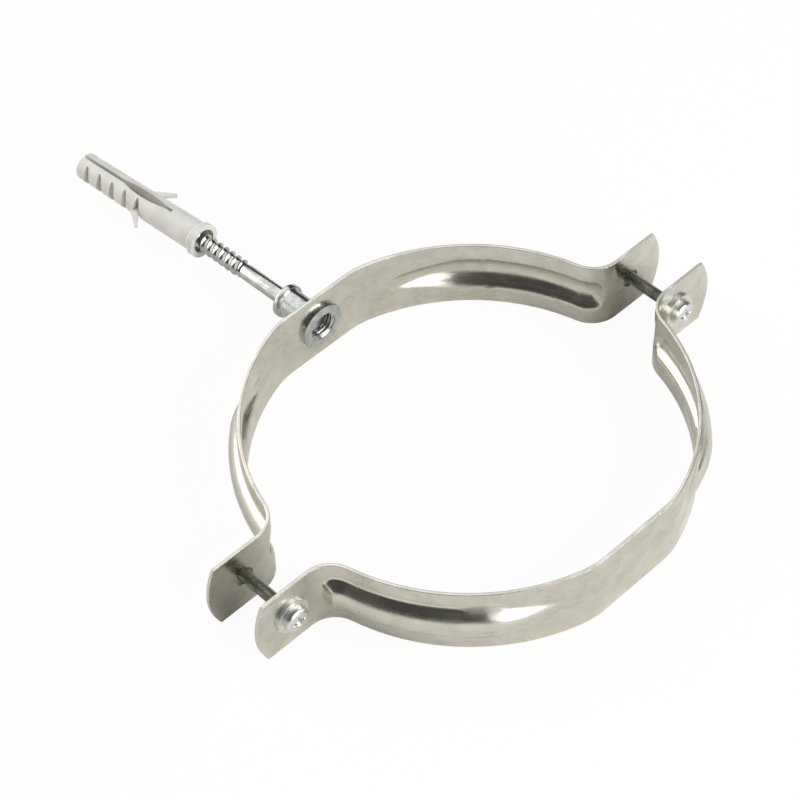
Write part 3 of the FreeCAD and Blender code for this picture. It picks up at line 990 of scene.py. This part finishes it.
@dataclass
class EarFastening:
    """Pan-head bolt, large washer and flanged nut of one pair of ears."""

    side: Side
    zinc: bpy.types.Material
    # The thread's material is a darker zinc: painted shade in its grooves.
    thread: bpy.types.Material
    columns: int = 96
    thread_columns: int = 40
    # Half the distance between the two pairs of holes, and where its middle lies.
    reach: float = 82.24825
    shift: float = 0.575
    under_head: float = -11.25
    nut_face: float = 10.25
    bolt_radius: float = 2.0
    bolt_core: float = 1.62
    bolt_pitch: float = 0.7
    bolt_ridge: Ridge = ((0.0, 0.0), (0.14, 0.0), (0.5, 1.0), (0.64, 1.0))
    bolt_sunk: float = 0.05
    bolt_length: float = 25.0
    bolt_point: float = 0.5
    head_radius: float = 4.1
    head_height: float = 2.9
    head_bevel: float = 0.12
    # The head's shoulder is round, and pressed a little flatter than a circle.
    head_round: float = 1.7
    head_squash: float = 0.82
    head_dome: float = 0.3
    shoulder_steps: int = 6
    dome_steps: int = 26
    # The arms of the cross are a little wider at the middle than at their ends. Its
    # floor rises towards the ends, and its sides slope over the last two distances.
    recess_half: float = 2.3
    recess_width: float = 1.15
    recess_wide: float = 1.15
    recess_narrowing: float = 0.3
    recess_depth: float = 1.7
    recess_floor: float = 0.7
    recess_rise: float = 0.92
    recess_wall: float = 0.22
    recess_end: float = 0.2
    nut_flats: float = 7.0
    nut_height: float = 3.4
    nut_flange: float = 5.0
    nut_flange_thick: float = 0.9
    nut_flange_bevel: float = 0.15
    # Where the flange slopes, as shares of its thickness, and how far it falls in.
    nut_flange_slope: tuple[float, float] = (0.6, 0.85)
    nut_flange_fall: float = 0.2
    nut_foot: float = 0.1
    nut_crown: Edge = ((0.45, 0.0), (0.2, 0.22), (0.0, 0.6))
    nut_bore: float = 2.05
    nut_mouth: float = 0.35

    def at(self, y: float) -> Matrix:
        """Place on the axis of the ears' holes.

        Args:
            y: height along the row's Y axis.

        Returns:
            The move, in metres.
        """
        sign = -1 if self.side is Side.LEFT else 1
        return Matrix.Translation(Vector((self.reach * sign + self.shift, y, 0.0)) * MM)

    def recess(self, x: float, z: float) -> float:
        """Depth of the cross recess below the head's dome.

        Args:
            x: distance from the axis along one arm.
            z: distance from the axis along the other arm.

        Returns:
            The depth, 0 outside the cross.
        """
        deepest = 0.0
        slope_length = self.recess_half - self.recess_floor
        for along, across in ((abs(x), abs(z)), (abs(z), abs(x))):
            narrowed = self.recess_narrowing * along / self.recess_half
            half = self.recess_width / 2 * (self.recess_wide - narrowed)
            wall = smooth((half - across) / self.recess_wall + 0.5)
            rise = smooth((along - self.recess_floor) / slope_length) * self.recess_rise
            inside = smooth((self.recess_half - along) / self.recess_end + 0.5)
            deepest = max(deepest, self.recess_depth * wall * (1 - rise) * inside)
        return deepest

    def bolt(self) -> bpy.types.Object:
        """Make the bolt from the head to the point.

        Returns:
            The bolt.
        """
        work = Turning(columns=self.columns)
        flat = self.head_radius - self.head_round
        rings = [
            work.ring(0.0, self.bolt_core),
            work.ring(0.0, self.head_radius - self.head_bevel),
            work.ring(-self.head_bevel, self.head_radius),
        ]
        for step in range(self.shoulder_steps + 1):
            angle = math.radians(90 * step / self.shoulder_steps)
            shoulder = self.head_round * math.sin(angle) * self.head_squash
            y = self.head_round - self.head_height - shoulder
            rings.append(work.ring(y, flat + self.head_round * math.cos(angle)))
        top = self.head_height - self.head_round * (1 - self.head_squash)
        for step in range(1, self.dome_steps):
            radius = flat * (1 - step / self.dome_steps)
            dome = top + self.head_dome * (1 - (radius / flat) ** 2)
            ring = []
            for column in range(work.columns):
                angle = 2 * math.pi * column / work.columns
                depth = self.recess(radius * math.sin(angle), radius * math.cos(angle))
                ring.append(work.point(angle, depth - dome, radius))
            rings.append(ring)
        for first, second in zip(rings, rings[1:]):
            work.bridge(first, second)
        work.cap(rings[0], 0.0)
        work.cap(rings[-1], self.recess_depth - top - self.head_dome)

        def limit(y: float) -> float:
            """Largest radius, with the chamfer at the bolt's end."""
            return self.bolt_radius - max(self.bolt_point - (self.bolt_length - y), 0.0)

        # The thread is thinner than the head, and needs fewer columns.
        work.columns = self.thread_columns
        work.helix(
            -self.bolt_sunk,
            self.bolt_length,
            self.bolt_pitch,
            self.bolt_ridge,
            lambda y: min(self.bolt_core, limit(y)),
            limit,
        )
        return work.piece(self.side.value + "_bolt_detail", self.at(self.under_head))

    def nut(self) -> bpy.types.Object:
        """Make the flanged nut with chamfered corners.

        Returns:
            The nut.
        """
        work = Turning(columns=self.columns)
        half = self.nut_flats / 2
        corner = half / math.cos(math.pi / 6)

        def hexagon(cone: float) -> Callable[[float], float]:
            """Make a hexagon whose corners are cut by a cone.

            Args:
                cone: the cone's radius at this height.

            Returns:
                The radius as a function of the angle.
            """

            def radius(angle: float) -> float:
                """Radius at one angle."""
                turned = (angle + math.pi / 6) % (math.pi / 3) - math.pi / 6
                return min(half / math.cos(turned), cone)

            return radius

        rim, thick, height = self.nut_flange, self.nut_flange_thick, self.nut_height
        bevel, mouth = self.nut_flange_bevel, self.nut_mouth
        begins, ends = self.nut_flange_slope
        crown = [(height - drop, hexagon(corner - cut)) for drop, cut in self.nut_crown]
        work.lathe(
            [
                (0.0, self.nut_bore + mouth),
                (0.0, rim - bevel),
                (bevel, rim),
                (thick * begins, rim),
                (thick * ends, rim - self.nut_flange_fall),
                (thick + bevel, hexagon(corner + self.nut_foot)),
                *crown,
                (height, self.nut_bore + mouth),
                (height - mouth, self.nut_bore),
                (mouth, self.nut_bore),
            ],
            loop=True,
        )
        return work.piece(self.side.value + "_nut_detail", self.at(self.nut_face))

    def build(self) -> list[str]:
        """Make the bolt and the nut, and dress the washer.

        Returns:
            The names of the pieces.
        """
        side = self.side.value
        bolt, nut = self.bolt(), self.nut()
        for piece, kind, body in (
            (bolt, "_bolt", side + "_screw"),
            (nut, "_nut", "rear_half"),
        ):
            dress(piece, self.zinc)
            carry(piece, side + kind, body)
        # The faces past the head take the darker zinc, which is painted shade on the
        # thread.
        bolt.data.materials.append(self.thread)
        for face in bolt.data.polygons:
            face.material_index = int(face.center.y > self.under_head * MM)
        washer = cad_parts[side + "_washer"]
        dress(washer, self.zinc)
        return [bolt.name, nut.name, washer.name]


@dataclass(frozen=True)
class Softbox:
    """A large rectangular lamp that looks at the middle of the clamp."""

    name: str
    direction: tuple[float, float, float]
    distance: float
    width: float
    height: float
    brightness: float

    def build(self) -> bpy.types.Object:
        """Make the lamp. Its power follows from its area and its brightness.

        Returns:
            The lamp.
        """
        data = bpy.data.lights.new(self.name, "AREA")
        data.shape = "RECTANGLE"
        data.size = self.width
        data.size_y = self.height
        data.energy = self.brightness * math.pi * self.width * self.height
        lamp = bpy.data.objects.new(self.name, data)
        towards = Vector(self.direction).normalized()
        lamp.location = towards * self.distance
        lamp.rotation_euler = towards.to_track_quat("Z", "Y").to_euler()
        bpy.context.scene.collection.objects.link(lamp)
        return lamp


@dataclass(frozen=True)
class Glow:
    """A soft bright part of the room, seen from the clamp."""

    direction: tuple[float, float, float]
    inner: float
    outer: float
    strength: float

    def level(
        self, tree: bpy.types.NodeTree, towards: bpy.types.NodeSocket
    ) -> bpy.types.NodeSocket:
        """Build the nodes of this part.

        Args:
            tree: the room's node tree.
            towards: direction that is looked in.

        Returns:
            The light from that direction.
        """
        axis = Vector(self.direction).normalized()
        near = add_node(
            tree,
            "ShaderNodeVectorMath",
            {0: towards, 1: tuple(axis)},
            operation="DOT_PRODUCT",
        )
        faded = add_node(
            tree,
            "ShaderNodeMapRange",
            {
                0: near.outputs["Value"],
                1: math.cos(math.radians(self.outer)),
                2: math.cos(math.radians(self.inner)),
                3: 0.0,
                4: self.strength,
            },
            interpolation_type="SMOOTHSTEP",
        )
        return faded.outputs[0]


@dataclass
class Studio:
    """Pale floor, soft lamps, dim room and camera."""

    floor_height: float = -12.5
    # Half the floor's side, in metres.
    floor_half: float = 4.0
    floor_colour: str = "#F8F7F5"
    # How much of plain white the floor shows to the camera, and adds for glossy metal.
    camera_glow: float = 0.95
    glossy_glow: float = 0.1
    room_colour: str = "#F2F1EC"
    room_level: float = 0.075
    # Two lamps in front, one high behind the clamp and one low behind it.
    softboxes: tuple[Softbox, ...] = (
        Softbox("front_softbox", (0.29, -0.80, 0.53), 0.9, 0.66, 0.5, 6.8),
        Softbox("low_softbox", (-0.17, -0.94, 0.292), 0.9, 0.42, 0.45, 4.0),
        Softbox("rear_softbox", (0.04, 0.58, 0.81), 0.95, 1.35, 0.7, 1.3),
        Softbox("back_softbox", (-0.17, 0.93, 0.32), 0.9, 0.65, 0.45, 2.0),
    )
    glows: tuple[Glow, ...] = (
        Glow((-0.14, 0.985, 0.12), 12.0, 45.0, 1.2),
        Glow((-0.66, 0.74, 0.12), 8.0, 42.0, 1.6),
    )
    # The camera, as fitted to the photograph: degrees and millimetres, with the focal
    # length in pixels of its frame.
    azimuth: float = -41.519
    elevation: float = 49.557
    roll: float = -3.189
    distance: float = 722.989
    offset: tuple[float, float] = (-20.593, 11.124)
    focal: float = 2394.626
    frame_width: float = 800.0
    sensor: float = 36.0
    # Nearest and farthest that the camera sees, in metres.
    sight: tuple[float, float] = (0.01, 20.0)

    def floor(self) -> None:
        """Lay the floor: paper that the lamps light and that is white to the camera."""
        half = self.floor_half
        mesh = bpy.data.meshes.new("floor")
        corners = ((-half, -half), (half, -half), (half, half), (-half, half))
        mesh.from_pydata([(x, y, 0) for x, y in corners], [], [(0, 1, 2, 3)])
        floor = bpy.data.objects.new("floor", mesh)
        floor.location.z = self.floor_height * MM
        bpy.context.scene.collection.objects.link(floor)
        material, tree = empty_material("matt_white_paper")
        paths = add_node(tree, "ShaderNodeLightPath").outputs
        lit = add_node(
            tree, "ShaderNodeBsdfDiffuse", {"Color": linear(self.floor_colour)}
        )
        glow = add_node(tree, "ShaderNodeEmission", {"Color": WHITE, "Strength": 1.0})
        straight = add_node(
            tree,
            "ShaderNodeMath",
            {0: paths["Is Camera Ray"], 1: paths["Is Transmission Ray"]},
            operation="MAXIMUM",
            use_clamp=True,
        )
        direct = add_node(
            tree,
            "ShaderNodeMath",
            {0: straight.outputs[0], 1: self.camera_glow},
            operation="MULTIPLY",
        )
        share = add_node(
            tree,
            "ShaderNodeMath",
            {0: paths["Is Glossy Ray"], 1: self.glossy_glow, 2: direct.outputs[0]},
            operation="MULTIPLY_ADD",
            use_clamp=True,
        )
        mixed = add_node(
            tree,
            "ShaderNodeMixShader",
            {0: share.outputs[0], 1: lit.outputs[0], 2: glow.outputs[0]},
        )
        add_node(tree, "ShaderNodeOutputMaterial", {0: mixed.outputs[0]})
        dress(floor, material)

    def lamps(self) -> None:
        """Hang the lamps."""
        for softbox in self.softboxes:
            softbox.build()

    def room(self) -> None:
        """Set the room's dim light with its bright rear, and white to the camera."""
        world = bpy.data.worlds.new("studio")
        bpy.context.scene.world = world
        world.use_nodes = True
        tree = world.node_tree
        tree.nodes.clear()
        towards = add_node(tree, "ShaderNodeTexCoord").outputs["Generated"]
        level: bpy.types.NodeSocket | float = self.room_level
        for glow in self.glows:
            total = add_node(
                tree,
                "ShaderNodeMath",
                {0: glow.level(tree, towards), 1: level},
                operation="ADD",
            )
            level = total.outputs[0]
        dim = add_node(
            tree,
            "ShaderNodeBackground",
            {"Color": linear(self.room_colour), "Strength": level},
        )
        white = add_node(
            tree, "ShaderNodeBackground", {"Color": WHITE, "Strength": 1.0}
        )
        paths = add_node(tree, "ShaderNodeLightPath").outputs
        mixed = add_node(
            tree,
            "ShaderNodeMixShader",
            {0: paths["Is Camera Ray"], 1: dim.outputs[0], 2: white.outputs[0]},
        )
        add_node(tree, "ShaderNodeOutputWorld", {0: mixed.outputs[0]})

    def camera(self) -> None:
        """Set the camera at the photograph's viewpoint."""
        azimuth, elevation = math.radians(self.azimuth), math.radians(self.elevation)
        back = Vector(
            (
                math.sin(azimuth) * math.cos(elevation),
                -math.cos(azimuth) * math.cos(elevation),
                math.sin(elevation),
            )
        )
        level = Vector((math.cos(azimuth), math.sin(azimuth), 0.0))
        above = back.cross(level)
        roll = math.radians(self.roll)
        right = level * math.cos(roll) + above * math.sin(roll)
        up = above * math.cos(roll) - level * math.sin(roll)
        data = bpy.data.cameras.new("camera")
        data.sensor_width = self.sensor
        data.lens = self.focal / self.frame_width * self.sensor
        data.clip_start, data.clip_end = self.sight
        camera = bpy.data.objects.new("camera", data)
        place = back * self.distance + right * self.offset[0] + up * self.offset[1]
        turn = Matrix((right, up, back)).transposed().to_4x4()
        camera.matrix_world = Matrix.Translation(place * MM) @ turn
        bpy.context.scene.collection.objects.link(camera)
        bpy.context.scene.camera = camera

    def build(self) -> list[str]:
        """Set up everything around the clamp.

        Returns:
            What was set up.
        """
        self.floor()
        self.lamps()
        self.room()
        self.camera()
        bpy.context.scene.view_settings.view_transform = "Standard"
        return ["floor", "lamps", "room", "camera"]


def main() -> None:
    """Build every sub-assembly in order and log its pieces."""
    logging.basicConfig(level=logging.INFO, format="%(name)s: %(message)s")
    zinc = ZincPlate().material()
    # The small parts are plated in a drum, which leaves them satin and paler.
    tumbled = ZincPlate(
        "drum_plated_zinc", pale="#E6E7E4", dull="#D2D4D0", polished=0.3, worn=0.42
    ).material()
    # The bolts' rolled threads get a darker zinc than the heads: painted shade, for the
    # light that their grooves trap.
    thread = ZincPlate(
        "rolled_thread_painted_shade", pale="#A2A197", dull="#807F75", polished=0.24, worn=0.4
    ).material()
    for part in (
        Studio(),
        HalfRings(),
        ThreadedBoss(zinc),
        WallScrew(zinc),
        WallPlug(),
        EarFastening(Side.LEFT, tumbled, thread),
        EarFastening(Side.RIGHT, tumbled, thread),
    ):
        for name in part.build():
            log.info("%s: %s", type(part).__name__, name)


if __name__ == "__main__":
    main()
